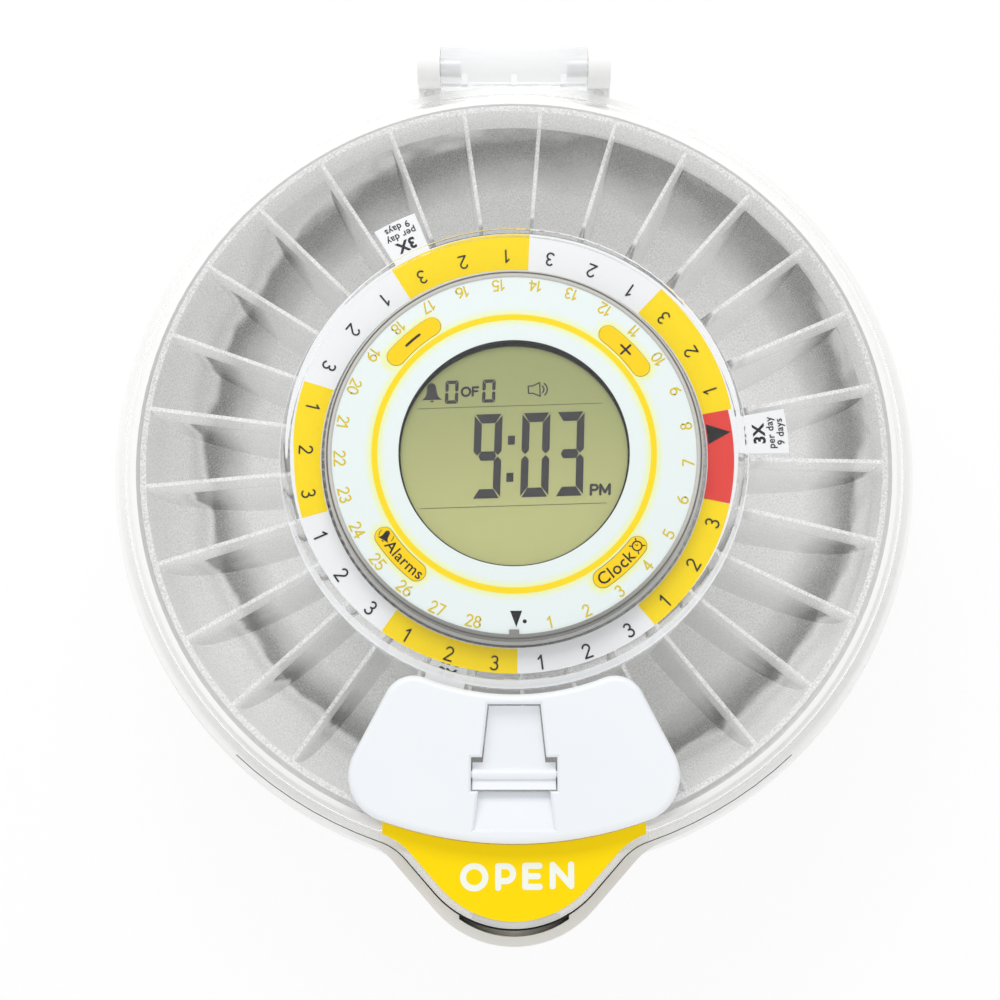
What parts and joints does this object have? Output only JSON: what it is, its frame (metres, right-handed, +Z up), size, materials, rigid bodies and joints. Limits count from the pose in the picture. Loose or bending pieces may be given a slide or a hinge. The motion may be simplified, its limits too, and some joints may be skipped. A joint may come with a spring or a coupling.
{
  "type": "automatic pill dispenser",
  "caption": "Round automatic pill dispenser: clear hinged lid, motor-driven carousel of compartments, central clock with curved keys, and an outlet flap at the front.",
  "frame": {"origin": "on the table, under the middle of the whole outline; the carousel's axis is 3.7 mm behind it", "axes": "+X to the right, +Y towards the hinge at the back, +Z up; the spout points to -Y"},
  "size_m": [0.1966, 0.22, 0.0598],
  "materials": {
    "shell_plastic": "satin white",
    "tower_plastic": "satin white",
    "panel_plastic": "satin white",
    "clear_plastic": "clear, polished",
    "tray_plastic": "clear, polished",
    "face_plastic": "matt pale mint",
    "bezel_plastic": "satin dark grey",
    "key_rubber": "matt yellow",
    "print_sheet": "printed sheet",
    "label_plastic": "yellow, printed",
    "window_clear": "clear",
    "lcd": "grey-green display",
    "gear_plastic": "natural acetal",
    "holder_plastic": "matt black",
    "component_black": "matt black",
    "board_green": "green laminate",
    "cell_wrap": "plain wrapper",
    "steel": "zinc-plated",
    "foot_rubber": "matt grey"
  },
  "bodies": {
    "base": {"base_housing": "shell_plastic", "rubber_feet": "foot_rubber", "hinge_pins": "steel", "battery_holder": "holder_plastic", "batteries": "cell_wrap", "battery_contacts": "steel", "battery_door": "shell_plastic", "door_screw": "steel", "hub_housing": "tower_plastic", "hub_screws": "steel", "gearmotor": "steel", "motor_bracket": "steel", "motor_screws": "steel", "bracket_screws": "steel", "main_board": "board_green", "board_screws": "steel", "board_parts": "component_black", "buzzer": "component_black", "tact_switches": "component_black", "lcd_module": "lcd", "display_lens": "window_clear", "face_plate": "face_plastic", "bezel_ring": "bezel_plastic"},
    "tray": {"tray_bowl": "tray_plastic", "tray_dividers": "tray_plastic", "ring_gear": "gear_plastic", "dose_ring": "print_sheet"},
    "pinion": {"drive_pinion": "gear_plastic", "motor_shaft": "steel"},
    "lid": {"lid_shell": "clear_plastic", "open_label": "label_plastic", "outlet_panel": "panel_plastic"},
    "flap": {"outlet_flap": "panel_plastic"},
    "plus_key": {"plus_button": "key_rubber"},
    "minus_key": {"minus_button": "key_rubber"},
    "alarms_key": {"alarms_button": "key_rubber"},
    "clock_key": {"clock_button": "key_rubber"}
  },
  "joints": [
    {"name": "tray_spin", "type": "hinge", "parent": "base", "child": "tray", "pos_m": [0, 0.0037, 0], "axis": [0, 0, 1], "continuous": true},
    {"name": "pinion_spin", "type": "hinge", "parent": "base", "child": "pinion", "pos_m": [0, 0.0397, 0.044], "axis": [0, 0, 1], "continuous": true},
    {"name": "lid_hinge", "type": "hinge", "parent": "base", "child": "lid", "pos_m": [0, 0.1047, 0.049], "axis": [-1, 0, 0], "range_deg": [0, 105]},
    {"name": "flap_swing", "type": "hinge", "parent": "lid", "child": "flap", "pos_m": [0, -0.0715, 0.0561], "axis": [1, 0, 0], "range_deg": [0, 80]},
    {"name": "plus_press", "type": "slide", "parent": "base", "child": "plus_key", "axis": [0, 0, -1], "range_m": [0, 0.0004], "stiffness_N_per_m": 3750},
    {"name": "minus_press", "type": "slide", "parent": "base", "child": "minus_key", "axis": [0, 0, -1], "range_m": [0, 0.0004], "stiffness_N_per_m": 3750},
    {"name": "alarms_press", "type": "slide", "parent": "base", "child": "alarms_key", "axis": [0, 0, -1], "range_m": [0, 0.0004], "stiffness_N_per_m": 3750},
    {"name": "clock_press", "type": "slide", "parent": "base", "child": "clock_key", "axis": [0, 0, -1], "range_m": [0, 0.0004], "stiffness_N_per_m": 3750}
  ],
  "couplings": [
    {"joint": "pinion_spin", "follows": "tray_spin", "ratio": 4.4615}
  ]
}
